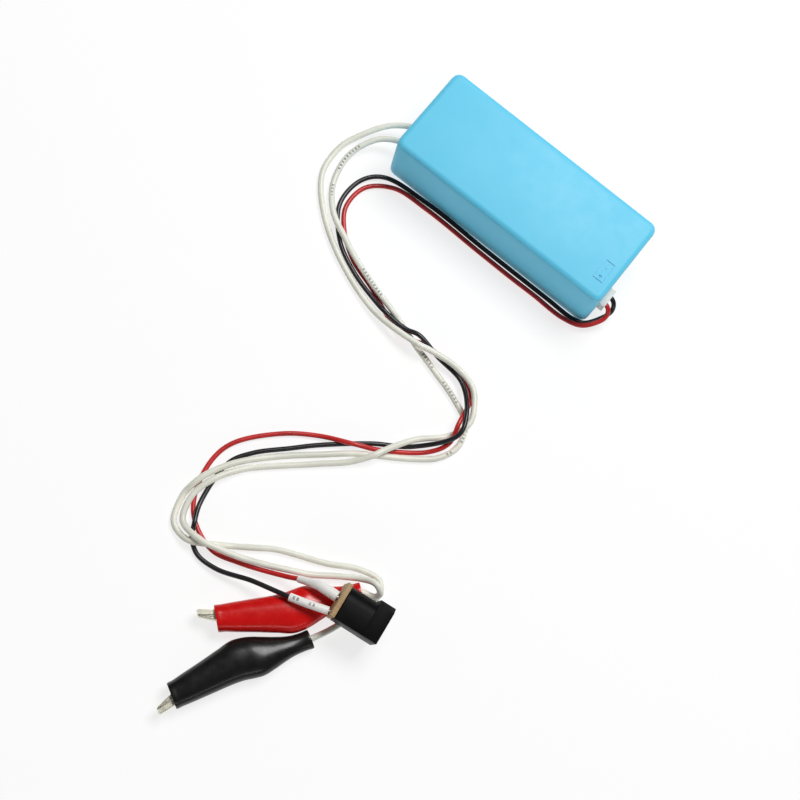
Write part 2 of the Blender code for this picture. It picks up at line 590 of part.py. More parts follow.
def fixed_jaw_outline():
    ear = arc(CLIP_PIVOT, 0.0019, 150, 20, 6)
    top = tooth_line(0) + ear + [(0.0130, -0.0006), (0.0200, -0.0010), (0.0245, -0.0013),
                                 (0.0300, -0.0012)]
    bottom = [(0.0300, -0.0016), (0.0250, -0.0020), (0.0140, -0.0021),
              (0.0060, -0.0023), (0.0000, -0.0025), (-0.0042, -0.0033), (-0.0048, -0.0030)]
    return top + bottom


def moving_jaw_outline():
    ear = arc(CLIP_PIVOT, 0.0016, 200, 330, 6)
    underside = [(0.0125, 0.0014), (0.0165, 0.0036), (0.0210, 0.0050)]
    web = [(0.0215, 0.0058), (0.0205, 0.0062), (0.0130, 0.0038), (0.0090, 0.0026),
           (0.0050, 0.0016), (0.0000, 0.0006), (-0.0042, -0.0011), (-0.0048, -0.0015)]
    return tooth_line(0.0002) + ear + underside + web


def moving_nose_outline():
    """The moving jaw's tip, as wide as the fixed jaw's, down to the teeth."""
    return tooth_line(0.0002) + [(0.0050, 0.0007), (0.0050, 0.0016), (0.0000, 0.0006),
                                 (-0.0042, -0.0011), (-0.0048, -0.0015)]


def jaw_pockets():
    """Outlines that hollow the jaws into channels, leaving the sheet's thickness."""
    fixed = [(-0.0035, -0.0027), (0.0000, -0.0021), (0.0060, -0.0019), (0.0140, -0.0017),
             (0.0250, -0.0016), (0.0320, -0.0012), (0.0320, 0.0060), (-0.0035, 0.0060)]
    moving = [(-0.0035, -0.0013), (0.0000, 0.0001), (0.0050, 0.0011), (0.0090, 0.0021),
              (0.0130, 0.0033), (0.0203, 0.0056), (0.0230, 0.0056), (0.0230, -0.0060),
              (-0.0035, -0.0060)]
    return fixed, moving


def build_clip(color, origin, angle, flipped, boot_material, steel):
    clip = add_empty(color + "_clip_frame", clip_matrix(origin, angle, flipped))
    fixed_pocket, moving_pocket = jaw_pockets()

    fixed = add_object(color + "_clip_fixed_jaw", prism(
        fixed_jaw_outline(), -FIXED_JAW_HALF_WIDTH, FIXED_JAW_HALF_WIDTH), steel, parent=clip)
    inside = FIXED_JAW_HALF_WIDTH - JAW_SHEET
    boolean(fixed, prism(fixed_pocket, -inside, inside))
    for side in (-1, 1):
        tail_side = sorted((side * 0.0008, side * 0.0040))
        boolean(fixed, box((0.0245, -0.0060, tail_side[0]), (0.0400, 0.0060, tail_side[1])))
    boolean(fixed, cylinder((*CLIP_PIVOT, 0), "Z", CLIP_PIN_HOLE_RADIUS, 0.010))

    pivot = add_empty(color + "_clip_pivot", Matrix.Identity(4))
    pivot.parent = clip
    pivot.location = (*CLIP_PIVOT, 0)
    back = Matrix.Translation((-CLIP_PIVOT[0], -CLIP_PIVOT[1], 0))
    moving = add_object(color + "_clip_moving_jaw", prism(
        moving_jaw_outline(), -MOVING_JAW_HALF_WIDTH, MOVING_JAW_HALF_WIDTH), steel, back, pivot)
    boolean(moving, prism(moving_nose_outline(), -FIXED_JAW_HALF_WIDTH, FIXED_JAW_HALF_WIDTH),
            "UNION")
    inside = MOVING_JAW_HALF_WIDTH - JAW_SHEET
    boolean(moving, prism(moving_pocket, -inside, inside))
    boolean(moving, cylinder((*CLIP_PIVOT, 0), "Z", CLIP_PIN_HOLE_RADIUS, 0.010))

    add_object(color + "_clip_pivot_pin", cylinder(
        (*CLIP_PIVOT, 0), "Z", CLIP_PIN_RADIUS, 2 * CLIP_PIN_HALF_LENGTH, 14), steel, parent=clip)
    add_object(color + "_clip_spring", spring_body(), steel, parent=clip)
    add_object(color + "_clip_conductor", cylinder(
        (0.0332, 0.0003, -drop_at(0.0332, flipped)), "X", 0.0005, 0.0052, 10), steel, parent=clip)
    add_object(color + "_clip_boot", boot_body(flipped), boot_material, parent=clip)


def drop_at(x, flipped):
    """How far the boot's centre line has dropped at x, in the clip's own z."""
    for before, after in zip(BOOT_STATIONS, BOOT_STATIONS[1:]):
        if before[0] <= x <= after[0]:
            share = (x - before[0]) / (after[0] - before[0])
            drop = before[4] + share * (after[4] - before[4])
            return -drop if flipped else drop
    return 0.0


def spring_body():
    """A torsion spring: a short coil round the pin with a leg on each handle."""
    turns, steps = 2.5, 30
    path = [Vector((0.0165, -0.00130, -0.00045))]
    for k in range(steps + 1):
        angle = -math.pi / 2 - math.tau * turns * k / steps
        height = -0.00045 + 0.0009 * k / steps
        path.append(Vector((CLIP_PIVOT[0] + SPRING_COIL_RADIUS * math.cos(angle),
                            CLIP_PIVOT[1] + SPRING_COIL_RADIUS * math.sin(angle), height)))
    path.append(Vector((0.0160, 0.0037, 0.00045)))
    bm = bmesh.new()
    rings = []
    for k, point in enumerate(path):
        ahead = path[min(k + 1, len(path) - 1)]
        behind = path[max(k - 1, 0)]
        rings.append(ring_along(bm, point, (ahead - behind).normalized(), SPRING_WIRE_RADIUS, 6))
    for first, second in zip(rings, rings[1:]):
        bridge(bm, first, second)
    bm.faces.new(rings[0])
    bm.faces.new(rings[-1])
    return bm


def boot_ring(bm, station, flipped, inset):
    """One cross-section of a boot: a squarish oval that gets rounder to the tail."""
    x, straight, hump, half_height, drop = station
    power = 2.0 / (3.2 - 1.1 * min(1.0, x / 0.036))
    half_y = (hump - straight) / 2 - inset
    half_z = half_height - inset
    center_z = drop if flipped else -drop
    ring = []
    for k in range(BOOT_SIDES):
        angle = math.tau * (k + 0.5) / BOOT_SIDES
        c, s = math.cos(angle), math.sin(angle)
        y = (hump + straight) / 2 + half_y * math.copysign(abs(c) ** power, c)
        z = center_z + half_z * math.copysign(abs(s) ** power, s)
        ring.append(bm.verts.new((x, y, z)))
    return ring


def boot_body(flipped):
    bm = bmesh.new()
    outer = [boot_ring(bm, station, flipped, 0.0) for station in BOOT_STATIONS]
    inner = [boot_ring(bm, station, flipped, BOOT_WALL) for station in BOOT_STATIONS]
    hollow_loft(bm, outer, inner)
    return bm


# --- shrink sleeves on the jack's leads -----------------------------------------
def add_sleeve(name, path, radii, material):
    """A thin tube over a lead's end, from the insulation up to the jack."""
    curve = smooth_route(path, 3)
    bm = bmesh.new()
    outer, inner = [], []
    for k, point in enumerate(curve):
        ahead = curve[min(k + 1, len(curve) - 1)]
        behind = curve[max(k - 1, 0)]
        direction = (ahead - behind).normalized()
        share = k / (len(curve) - 1)
        radius = radii[0] + (radii[1] - radii[0]) * min(1.0, 1.6 * share)
        outer.append(ring_along(bm, point, direction, radius, 12))
        inner.append(ring_along(bm, point, direction, radius - SLEEVE_WALL, 12))
    hollow_loft(bm, outer, inner)
    add_object(name, bm, material)


def jack_point(x, y):
    return tuple(jack_matrix() @ Vector((x, y, 0)))


def build_sleeves(white):
    plate_back = -PART_GAP - JACK_PLATE_THICKNESS - PART_GAP
    add_sleeve("sleeve_red_lead", RED_LEAD_ROUTE[-4:-1] + [jack_point(plate_back, JACK_BORE_Y)],
               (0.0012, 0.0015), white)
    add_sleeve("sleeve_black_lead", BLACK_LEAD_ROUTE[-3:-1] + [jack_point(plate_back, JACK_LEAF_Y)],
               (0.00115, 0.00115), white)


def build_leads(white, red, black):
    add_lead("white_lead_red_clip", WHITE_LEAD_RED_CLIP_ROUTE, WHITE_RADIUS, white)
    add_lead("white_lead_black_clip", WHITE_LEAD_BLACK_CLIP_ROUTE, WHITE_RADIUS, white)
    add_lead("red_lead", RED_LEAD_ROUTE, THIN_RADIUS, red)
    add_lead("black_lead", BLACK_LEAD_ROUTE, THIN_RADIUS, black)


def main():
    clear_scene()
    blue = make_material("sky_blue_abs", (0.19, 0.66, 0.92), 0.42)
    black = make_material("black_plastic", (0.012, 0.012, 0.014), 0.35)
    red_boot = make_material("red_pvc", (0.48, 0.006, 0.008), 0.28)
    red_wire = make_material("red_insulation", (0.50, 0.03, 0.03), 0.40)
    white_wire = make_material("white_insulation", (0.78, 0.78, 0.71), 0.45)
    white_nylon = make_material("white_nylon", (0.85, 0.84, 0.80), 0.45)
    tin = make_material("nickel", (0.72, 0.70, 0.64), 0.28, 1.0)
    green = make_material("board_green", (0.03, 0.20, 0.08), 0.45)
    ferrite = make_material("ferrite", (0.05, 0.05, 0.055), 0.60)
    copper = make_material("copper_wire", (0.62, 0.27, 0.10), 0.35, 1.0)
    sleeve = make_material("capacitor_sleeve", (0.02, 0.03, 0.12), 0.35)
    film = make_material("film_capacitor", (0.55, 0.30, 0.05), 0.35)
    tan = make_material("phenolic", (0.50, 0.30, 0.11), 0.60)

    build_case(blue, black)
    build_board(green)
    build_transformer(ferrite, black, copper)
    build_components(black, sleeve, film, tan, tin, copper)
    build_input_connector(white_nylon, tin)
    build_leads(white_wire, red_wire, black)
    build_jack(add_empty("jack_frame", jack_matrix()), black, tan, tin)
    build_clip("red", CLIP_RED_ORIGIN, CLIP_RED_ANGLE, True, red_boot, tin)
    build_clip("black", CLIP_BLACK_ORIGIN, CLIP_BLACK_ANGLE, False, black, tin)
    build_sleeves(white_nylon)


main()
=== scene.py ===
import json
import math

import bmesh
import bpy
from mathutils import Matrix, Vector, kdtree


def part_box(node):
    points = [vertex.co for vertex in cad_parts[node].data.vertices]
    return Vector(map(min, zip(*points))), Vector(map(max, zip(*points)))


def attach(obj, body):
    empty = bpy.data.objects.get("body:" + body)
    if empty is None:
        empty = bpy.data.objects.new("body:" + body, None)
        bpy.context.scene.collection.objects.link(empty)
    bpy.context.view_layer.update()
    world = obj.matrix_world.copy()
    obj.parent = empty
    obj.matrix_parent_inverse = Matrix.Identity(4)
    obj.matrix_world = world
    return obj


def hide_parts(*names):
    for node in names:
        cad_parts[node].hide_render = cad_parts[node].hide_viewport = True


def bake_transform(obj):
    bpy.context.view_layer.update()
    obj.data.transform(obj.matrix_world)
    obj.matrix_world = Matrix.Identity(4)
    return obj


# Looks for a small driver box with a barrel-jack input lead and two clip leads.

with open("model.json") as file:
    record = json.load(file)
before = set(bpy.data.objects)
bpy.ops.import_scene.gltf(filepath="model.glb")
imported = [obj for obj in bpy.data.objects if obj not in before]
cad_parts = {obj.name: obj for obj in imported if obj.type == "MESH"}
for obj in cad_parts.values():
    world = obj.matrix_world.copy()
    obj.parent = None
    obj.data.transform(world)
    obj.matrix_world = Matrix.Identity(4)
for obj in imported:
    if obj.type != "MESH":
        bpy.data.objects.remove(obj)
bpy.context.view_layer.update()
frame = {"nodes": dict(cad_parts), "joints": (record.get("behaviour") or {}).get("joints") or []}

# --- camera: where it aims, and how it stands ---------------------------------------
AIM = Vector((0.0095, -0.0670, 0.0))
CAMERA_DISTANCE = 0.4544
CAMERA_AZIMUTH = math.radians(11.87)
CAMERA_ELEVATION = math.radians(75.37)
CAMERA_ROLL = math.radians(27.1)
CAMERA_LENS = 72.0

# --- stage --------------------------------------------------------------------------
FLOOR_HALF_SIZE = 1.6
FLOOR_GLOW = 0.77
WORLD_STRENGTH = 0.10
# Area lights: name, where it is, where it aims, size and power.
LIGHTS = [
    ("key", (0.04, 0.38, 0.85), (0.0, -0.04, 0.0), (0.55, 0.35), 7.9),
    ("rim", (0.42, -0.62, 0.34), (0.02, -0.14, 0.0), (0.70, 0.06), 0.6),
    ("fill", (-0.55, -0.35, 0.55), (0.0, -0.08, 0.0), (0.45, 0.45), 0.15),
]

# --- leads --------------------------------------------------------------------------
WHITE_RADIUS = 0.0009
THIN_RADIUS = 0.0007

# Points that each lead runs through, from the case outwards.
WHITE_LEAD_RED_CLIP_ROUTE = [
    (-0.0315, -0.0010, 0.0056), (-0.0365, -0.0012, 0.0056), (-0.0433, -0.0049, 0.0041),
    (-0.0492, -0.0138, 0.0021), (-0.0510, -0.0191, 0.0013), (-0.0497, -0.0289, 0.0010),
    (-0.0372, -0.0413, 0.0012), (-0.0140, -0.0513, 0.0015), (0.0032, -0.0522, 0.0048),
    (0.0073, -0.0512, 0.0043), (0.0152, -0.0501, 0.0037), (0.0224, -0.0511, 0.0029),
    (0.0254, -0.0533, 0.0029), (0.0289, -0.0593, 0.0031), (0.0288, -0.0627, 0.0030),
    (0.0264, -0.0670, 0.0010), (0.0200, -0.0739, 0.0025),
    (0.0152, -0.0819, 0.0028), (0.0139, -0.0848, 0.0032), (0.0099, -0.0901, 0.0015),
    (0.0030, -0.0965, 0.0010), (-0.0085, -0.1071, 0.0010), (-0.0118, -0.1106, 0.0012),
    (-0.0161, -0.1178, 0.0027), (-0.0179, -0.1253, 0.0027), (-0.0154, -0.1324, 0.0024),
    (-0.0082, -0.1337, 0.0048), (-0.0030, -0.1325, 0.0045), (0.0036, -0.1303, 0.0033),
    (0.0090, -0.1280, 0.0032), (0.0132, -0.1260, 0.0031), (0.0171, -0.1240, 0.0028),
    (0.0210, -0.1219, 0.0022), (0.0280, -0.1169, 0.0021), (0.0330, -0.1140, 0.0034),
    (0.0366, -0.1132, 0.0060), (0.0391, -0.1142, 0.0052), (0.0385, -0.1157, 0.0031),
    (0.0346, -0.1171, 0.0025), (0.0323, -0.1198, 0.0026),
]
WHITE_LEAD_BLACK_CLIP_ROUTE = [
    (-0.0315, -0.0072, 0.0056), (-0.0365, -0.0072, 0.0056), (-0.0433, -0.0106, 0.0043),
    (-0.0472, -0.0192, 0.0026), (-0.0455, -0.0289, 0.0016), (-0.0399, -0.0361, 0.0024),
    (-0.0319, -0.0404, 0.0026), (-0.0267, -0.0427, 0.0025), (-0.0168, -0.0461, 0.0024),
    (-0.0085, -0.0482, 0.0020), (-0.0048, -0.0491, 0.0011), (0.0021, -0.0515, 0.0010),
    (0.0116, -0.0542, 0.0010), (0.0217, -0.0573, 0.0010), (0.0282, -0.0609, 0.0010),
    (0.0306, -0.0671, 0.0010), (0.0284, -0.0733, 0.0010), (0.0232, -0.0781, 0.0010),
    (0.0102, -0.0869, 0.0010), (0.0070, -0.0894, 0.0010), (0.0028, -0.0932, 0.0011),
    (-0.0066, -0.1017, 0.0011), (-0.0145, -0.1108, 0.0024), (-0.0187, -0.1186, 0.0028),
    (-0.0197, -0.1226, 0.0027), (-0.0201, -0.1266, 0.0012), (-0.0175, -0.1338, 0.0010),
    (-0.0140, -0.1355, 0.0013), (-0.0102, -0.1354, 0.0026), (-0.0045, -0.1320, 0.0025),
    (-0.0015, -0.1298, 0.0011), (0.0041, -0.1259, 0.0011), (0.0093, -0.1223, 0.0010),
    (0.0224, -0.1166, 0.0010), (0.0304, -0.1122, 0.0010), (0.0369, -0.1111, 0.0010),
    (0.0391, -0.1143, 0.0010), (0.0351, -0.1288, 0.0013), (0.0319, -0.1357, 0.0025),
    (0.0303, -0.1386, 0.0026),
]
BLACK_LEAD_ROUTE = [
    (0.0365, -0.0056, 0.0063), (0.0384, -0.0056, 0.0063), (0.0399, -0.0062, 0.0057),
    (0.0408, -0.0076, 0.0042), (0.0404, -0.0093, 0.0023), (0.0368, -0.0146, 0.0008),
    (0.0331, -0.0159, 0.0009), (0.0239, -0.0159, 0.0008), (0.0000, -0.0159, 0.0008),
    (-0.0200, -0.0157, 0.0008), (-0.0353, -0.0176, 0.0008), (-0.0400, -0.0229, 0.0008),
    (-0.0402, -0.0324, 0.0008), (-0.0332, -0.0412, 0.0008), (-0.0240, -0.0461, 0.0008),
    (-0.0141, -0.0491, 0.0017), (-0.0098, -0.0500, 0.0024), (-0.0020, -0.0503, 0.0028),
    (0.0022, -0.0495, 0.0036), (0.0101, -0.0507, 0.0022), (0.0200, -0.0522, 0.0022),
    (0.0272, -0.0600, 0.0051), (0.0287, -0.0659, 0.0050), (0.0205, -0.0757, 0.0010),
    (0.0111, -0.0823, 0.0009), (-0.0001, -0.0921, 0.0008), (-0.0056, -0.0978, 0.0008),
    (-0.0129, -0.1056, 0.0008), (-0.0162, -0.1118, 0.0008), (-0.0151, -0.1252, 0.0014),
    (-0.0123, -0.1314, 0.0026), (-0.0108, -0.1341, 0.0009), (-0.0067, -0.1369, 0.0010),
    (0.0001, -0.1368, 0.0018), (0.0094, -0.1336, 0.0043), (0.0142, -0.1324, 0.0059),
    (0.0174, -0.1317, 0.0073), (0.0206, -0.1309, 0.0086), (0.0250, -0.1296, 0.0096),
    (0.0289, -0.1280, 0.0099),
]
RED_LEAD_ROUTE = [
    (0.0365, -0.0082, 0.0063), (0.0384, -0.0082, 0.0063), (0.0397, -0.0088, 0.0059),
    (0.0405, -0.0100, 0.0047), (0.0402, -0.0118, 0.0036), (0.0367, -0.0163, 0.0023),
    (0.0310, -0.0178, 0.0014), (0.0202, -0.0177, 0.0011), (0.0120, -0.0177, 0.0008),
    (-0.0001, -0.0176, 0.0008), (-0.0200, -0.0173, 0.0008), (-0.0310, -0.0184, 0.0008),
    (-0.0377, -0.0239, 0.0008), (-0.0383, -0.0319, 0.0008), (-0.0343, -0.0378, 0.0008),
    (-0.0269, -0.0432, 0.0008), (-0.0170, -0.0466, 0.0008), (-0.0051, -0.0512, 0.0011),
    (0.0022, -0.0515, 0.0030), (0.0049, -0.0501, 0.0015), (0.0181, -0.0503, 0.0008),
    (0.0244, -0.0533, 0.0011), (0.0268, -0.0629, 0.0044), (0.0281, -0.0685, 0.0024),
    (0.0250, -0.0740, 0.0010), (0.0139, -0.0824, 0.0011), (0.0079, -0.0857, 0.0027),
    (-0.0015, -0.0899, 0.0010), (-0.0100, -0.0960, 0.0008), (-0.0188, -0.1067, 0.0008),
    (-0.0203, -0.1140, 0.0008), (-0.0179, -0.1241, 0.0008), (-0.0134, -0.1299, 0.0008),
    (-0.0044, -0.1335, 0.0008), (0.0040, -0.1315, 0.0014), (0.0165, -0.1265, 0.0035),
    (0.0194, -0.1252, 0.0052), (0.0222, -0.1243, 0.0071), (0.0252, -0.1235, 0.0091),
    (0.0282, -0.1231, 0.0099),
]

# Where the sleeves meet the jack's rear plate, their radii on the leads, and the share
# by which the red one opens out towards its lug.
RED_SLEEVE_END = (0.0306, -0.123, 0.0099)
BLACK_SLEEVE_END = (0.0311, -0.1274, 0.0099)
RED_SLEEVE_RADIUS = 0.00105
BLACK_SLEEVE_RADIUS = 0.00115
RED_SLEEVE_WIDENING = 0.45

# Stretches of the printed lead and sleeve, in metres from their starts, with tick marks.
WHITE_LEAD_PRINT = [(0.019, 0.029), (0.033, 0.037), (0.061, 0.071), (0.0905, 0.0965),
                    (0.1005, 0.1085), (0.1180, 0.1210), (0.1245, 0.1262)]
SLEEVE_PRINT = [(0.0006, 0.0032), (0.0056, 0.0076)]
TICKS_PER_METRE = 900.0
LEAD_STEP = 0.0005
SLEEVE_STEP = 0.0004

# --- softened edges: which count as sharp, and near-flat facets that are merged -----
SHARP_FROM = math.radians(30)
FLAT_WITHIN = math.radians(1.0)
MERGE_WITHIN = 1e-6

# --- raised mark on the case --------------------------------------------------------
MARK_FROM_END = 0.0045
MARK_OFF_MIDDLE = 0.0061
MARK_SINK = 0.00004
MARK_LENGTH = 0.0066
MARK_WIDTH = 0.0034
MARK_LINE = 0.00026
MARK_RISE = 0.00024
# The plus and the minus as bars: x and y from the mark's middle, size along x and y.
MARK_BARS = [(0.0, -0.0018, 0.0012, MARK_LINE), (0.0, -0.0018, MARK_LINE, 0.0012),
             (0.0, 0.0014, MARK_LINE, 0.0013)]

# --- clips: x from the boot's mouth to its tail, +y the humped side -----------------
CLIP_ANGLES = {"red": math.radians(49.5), "black": math.radians(61.1)}
CLIP_FLIPPED = {"red": True, "black": False}
PIVOT_FROM_MOUTH = 0.0090
# Where the boot and the spring start and stop turning with the moving jaw.
# The toothed line's height at the mouth and its slope, and what counts as the nose's skin.
SPLIT_AT_MOUTH = -0.00116
SPLIT_SLOPE = 0.20
NOSE_SKIN = 0.00175
NOSE_CLEAR_OF_TEETH = 0.00055
FIXED_JAW_EDGE = 0.00036
MOVING_JAW_EDGE = 0.00040
BOOT_WALL = 0.0007
BOOT_LENGTH = 0.040
BOOT_RINGS = 64
BOOT_SIDES = 48
# The rolled lips at the boot's ends, and the rounding of its rims.
MOUTH_LIP = 0.00012
TAIL_LIP = 0.00010
LIP_WIDTH = 0.0006
RIM_EDGE = 0.00022
RIM_FROM = math.radians(50)
# x, straight side y, humped side y, half height, drop of the centre line.
BOOT_STATIONS = [
    (0.0000, -0.0036, 0.0036, 0.0033, 0.0000),
    (0.0050, -0.0036, 0.0046, 0.0034, 0.0000),
    (0.0105, -0.0035, 0.0057, 0.0035, 0.0000),
    (0.0160, -0.0034, 0.0069, 0.0036, 0.0000),
    (0.0195, -0.0036, 0.0077, 0.0036, 0.0000),
    (0.0222, -0.0041, 0.0075, 0.0036, 0.0001),
    (0.0248, -0.0044, 0.0068, 0.0035, 0.0001),
    (0.0280, -0.0039, 0.0055, 0.0032, 0.0004),
    (0.0315, -0.0031, 0.0041, 0.0028, 0.0009),
    (0.0345, -0.0026, 0.0031, 0.0024, 0.0012),
    (0.0370, -0.0025, 0.0027, 0.0022, 0.0013),
    (0.0400, -0.0026, 0.0026, 0.0022, 0.0013),
]


# --- shader maths -------------------------------------------------------------------
class Value:
    """A shader socket that works in Python arithmetic."""

    def __init__(self, tree, socket):
        self.tree = tree
        self.socket = socket

    def math(self, operation, *others):
        node = self.tree.nodes.new("ShaderNodeMath")
        node.operation = operation
        for slot_input, term in zip(node.inputs, (self, *others)):
            if isinstance(term, Value):
                self.tree.links.new(term.socket, slot_input)
            else:
                slot_input.default_value = term
        return Value(self.tree, node.outputs[0])

    def __add__(self, other):
        return self.math("ADD", other)

    def __mul__(self, other):
        return self.math("MULTIPLY", other)

    def __gt__(self, other):
        return self.math("GREATER_THAN", other)

    def __lt__(self, other):
        return self.math("LESS_THAN", other)

    def clamped(self):
        node = self.math("ADD", 0.0)
        node.socket.node.use_clamp = True
        return node


class Finish:
    """A material with a Principled shader, and the nodes that vary it."""

    def __init__(self, name):
        self.material = bpy.data.materials.new(name)
        self.material.use_nodes = True
        self.tree = self.material.node_tree
        self.shader = self.tree.nodes["Principled BSDF"]

    def node(self, kind, settings=None, inputs=None, output=0):
        node = self.tree.nodes.new("ShaderNode" + kind)
        for key, setting in (settings or {}).items():
            setattr(node, key, setting)
        for key, value in (inputs or {}).items():
            self.feed(node.inputs[key], value)
        return Value(self.tree, node.outputs[output])

    def feed(self, socket, value):
        if isinstance(value, Value):
            self.tree.links.new(value.socket, socket)
        elif isinstance(value, tuple) and len(value) == 3 and socket.type == "RGBA":
            socket.default_value = (*value, 1.0)
        else:
            socket.default_value = value

    def place(self):
        return self.node("TexCoord", output="Object")

    def noise(self, scale, detail=3.0, roughness=0.5, stretch=None):
        place = self.place()
        if stretch:
            place = self.node("Mapping", inputs={"Vector": place, "Scale": stretch})
        return self.node("TexNoise", inputs={"Vector": place, "Scale": scale, "Detail": detail,
                                             "Roughness": roughness})

    def attribute(self, name):
        return self.node("Attribute", {"attribute_name": name}, output="Fac")

    def mix(self, mask, low, high):
        return self.node("Mix", {"data_type": "RGBA"}, {0: mask, 6: low, 7: high}, output=2)

    def spread(self, value, low, high, out_low=0.0, out_high=1.0):
        """Map a stretch of a value's range onto another, clamped."""
        return self.node("MapRange", inputs={"Value": value, "From Min": low, "From Max": high,
                                             "To Min": out_low, "To Max": out_high})

    def bump(self, *layers):
        """Bump layers of (height, strength, distance), each on top of the last."""
        normal = None
        for height, strength, distance in layers:
            inputs = {"Height": height, "Strength": strength, "Distance": distance}
            if normal is not None:
                inputs["Normal"] = normal
            normal = self.node("Bump", inputs=inputs)
        self.set(Normal=normal)

    def set(self, **values):
        for key, value in values.items():
            self.feed(self.shader.inputs[key.replace("_", " ")], value)
        return self.material


# --- finishes -----------------------------------------------------------------------
def moulded_plastic(name, dark, light, roughness, grain=9000, grain_depth=0.00002, coat=0.0,
                    specular=0.5):
    """Moulded plastic with a fine spark-eroded grain and faint flow clouds."""
    f = Finish(name)
    clouds = f.noise(55, 4, 0.55)
    smudges = f.noise(210, 5, 0.6)
    speckle = f.noise(grain, 2, 0.6)
    tone = f.spread(clouds * 0.7 + smudges * 0.3, 0.35, 0.65)
    f.set(Base_Color=f.mix(tone, dark, light))
    f.set(Roughness=f.spread(smudges * 0.6 + speckle * 0.4, 0.35, 0.65,
                             roughness - 0.05, roughness + 0.07))
    f.bump((speckle, 0.35, grain_depth), (clouds, 0.08, 0.0003))
    f.set(Coat_Weight=coat, Coat_Roughness=0.12, Specular_IOR_Level=specular)
    return f.material


def wire_insulation(name, dark, light, roughness, stretches=()):
    """Extruded PVC with fine lengthwise drag lines, handling marks and printed ticks."""
    f = Finish(name)
    along = f.attribute("along")
    across = f.attribute("across")
    drag = f.node("TexNoise", {"noise_dimensions": "2D"},
                  {"Vector": f.node("CombineXYZ", inputs={"X": along * 60.0, "Y": across * 7.0}),
                   "Scale": 1.0, "Detail": 3.0})
    handling = f.noise(130, 4, 0.6)
    color = f.mix(f.spread(handling, 0.38, 0.62), dark, light)
    if stretches:
        color = f.mix(tick_mask(f, along, across, stretches), color, (0.26, 0.26, 0.26))
    f.set(Base_Color=color)
    f.set(Roughness=f.spread(drag * 0.5 + handling * 0.5, 0.35, 0.65,
                             roughness - 0.07, roughness + 0.08))
    f.bump((drag, 0.25, 0.00004), (handling, 0.15, 0.00012))
    f.set(Coat_Weight=0.15, Coat_Roughness=0.25)
    return f.material


def tick_mask(f, along, across, stretches):
    """Short printed ticks, unevenly inked, on the upper side of a lead."""
    inside = 0.0
    for start, end in stretches:
        inside = (along > start) * (along < end) + inside
    ticks = f.node("Math", {"operation": "FRACT"}, {0: along * TICKS_PER_METRE})
    ink = f.noise(2600, 2, 0.5)
    printed = (ticks + ink * 0.5) < 0.80
    band = (across > -0.42) * (across < 0.36)
    above = f.attribute("above") > 0.2
    return (inside * printed * band * above * f.spread(ink, 0.35, 0.5, 0.45, 0.95)).clamped()


def soft_pvc(name, dark, light, roughness):
    """Glossy dip-moulded PVC: slow waves in the surface, dust and finger marks."""
    f = Finish(name)
    waves = f.noise(70, 2, 0.4)
    marks = f.noise(420, 4, 0.55)
    dust = f.noise(5200, 2, 0.5)
    f.set(Base_Color=f.mix(f.spread(waves * 0.6 + marks * 0.4, 0.35, 0.65), dark, light))
    f.set(Roughness=f.spread(marks, 0.35, 0.7, roughness - 0.03, roughness + 0.06))
    f.bump((waves, 0.10, 0.0004), (marks, 0.04, 0.00006), (dust, 0.05, 0.00001))
    f.set(Coat_Weight=0.12, Coat_Roughness=0.14, Specular_IOR_Level=0.36)
    return f.material


def plated_metal(name, dark, light, roughness, stretch=(1.0, 1.0, 1.0)):
    """Plated sheet or wire with fine rolling lines and duller patches."""
    f = Finish(name)
    lines = f.noise(2400, 3, 0.6, stretch)
    patches = f.noise(420, 4, 0.6)
    f.set(Metallic=0.75)
    f.set(Base_Color=f.mix(f.spread(patches, 0.35, 0.65), dark, light))
    f.set(Roughness=f.spread(patches * 0.5 + lines * 0.5, 0.35, 0.65,
                             roughness - 0.06, roughness + 0.10))
    f.bump((lines, 0.10, 0.00001), (patches, 0.08, 0.00002))
    return f.material


def laminate(name, dark, light, roughness, thread=3200):
    """Pressed board whose fibres show as fine crossed threads."""
    f = Finish(name)
    first = f.noise(thread, 2, 0.5, (0.12, 1.0, 1.0))
    second = f.noise(thread, 2, 0.5, (1.0, 0.12, 1.0))
    stains = f.noise(260, 4, 0.6)
    weave = first * 0.5 + second * 0.5
    f.set(Base_Color=f.mix(f.spread(weave * 0.6 + stains * 0.4, 0.36, 0.64), dark, light))
    f.set(Roughness=f.spread(stains, 0.35, 0.65, roughness - 0.06, roughness + 0.08))
    f.bump((weave, 0.30, 0.00004))
    return f.material


def wound_copper(name):
    """Enamelled turns lying side by side along X."""
    f = Finish(name)
    turns = f.node("TexWave", {"bands_direction": "X"},
                   {"Vector": f.place(), "Scale": 900.0, "Distortion": 0.4, "Detail": 1.0})
    tint = f.noise(500, 3)
    f.set(Metallic=0.9)
    f.set(Base_Color=f.mix(tint, (0.42, 0.14, 0.04), (0.70, 0.30, 0.11)))
    f.set(Roughness=f.spread(tint, 0.3, 0.7, 0.22, 0.38))
    f.bump((turns, 0.6, 0.00010))
    return f.material


